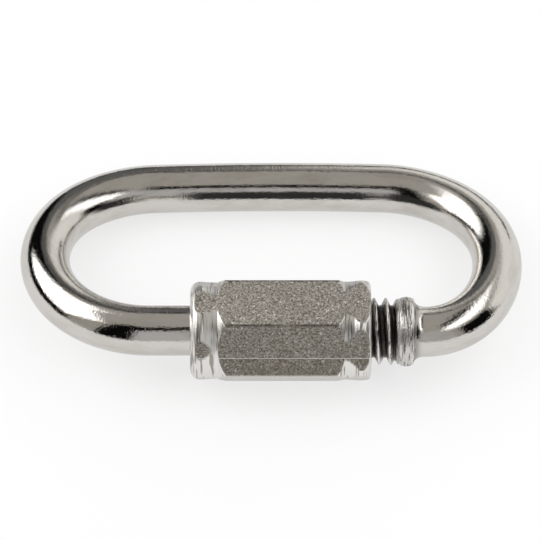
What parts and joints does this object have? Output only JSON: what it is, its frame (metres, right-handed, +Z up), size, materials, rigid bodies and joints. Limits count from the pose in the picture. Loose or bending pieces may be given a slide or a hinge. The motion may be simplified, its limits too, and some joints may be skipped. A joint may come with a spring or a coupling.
{
  "type": "chain quick link",
  "caption": "Oval wire link with an open side that is closed by a long hexagonal sleeve nut on threaded ends, used to join chain and fittings by hand.",
  "frame": {"origin": "on the surface the link lies on, below the middle of its box", "axes": "+X along the plain side and the nut, towards the end with the long thread; +Y from the nut to the plain side; +Z up"},
  "size_m": [0.0304, 0.0176, 0.006],
  "materials": {
    "polished_wire": "bright polished plating with fine draw lines",
    "turned_nut": "grainy satin flats, brighter turned ends"
  },
  "bodies": {
    "link": {"link_body": "polished_wire"},
    "nut": {"sleeve_nut": "turned_nut"}
  },
  "joints": [
    {"name": "nut_travel", "type": "slide", "parent": "link", "child": "nut", "axis": [1, 0, 0], "range_m": [0, 0.0049]}
  ]
}
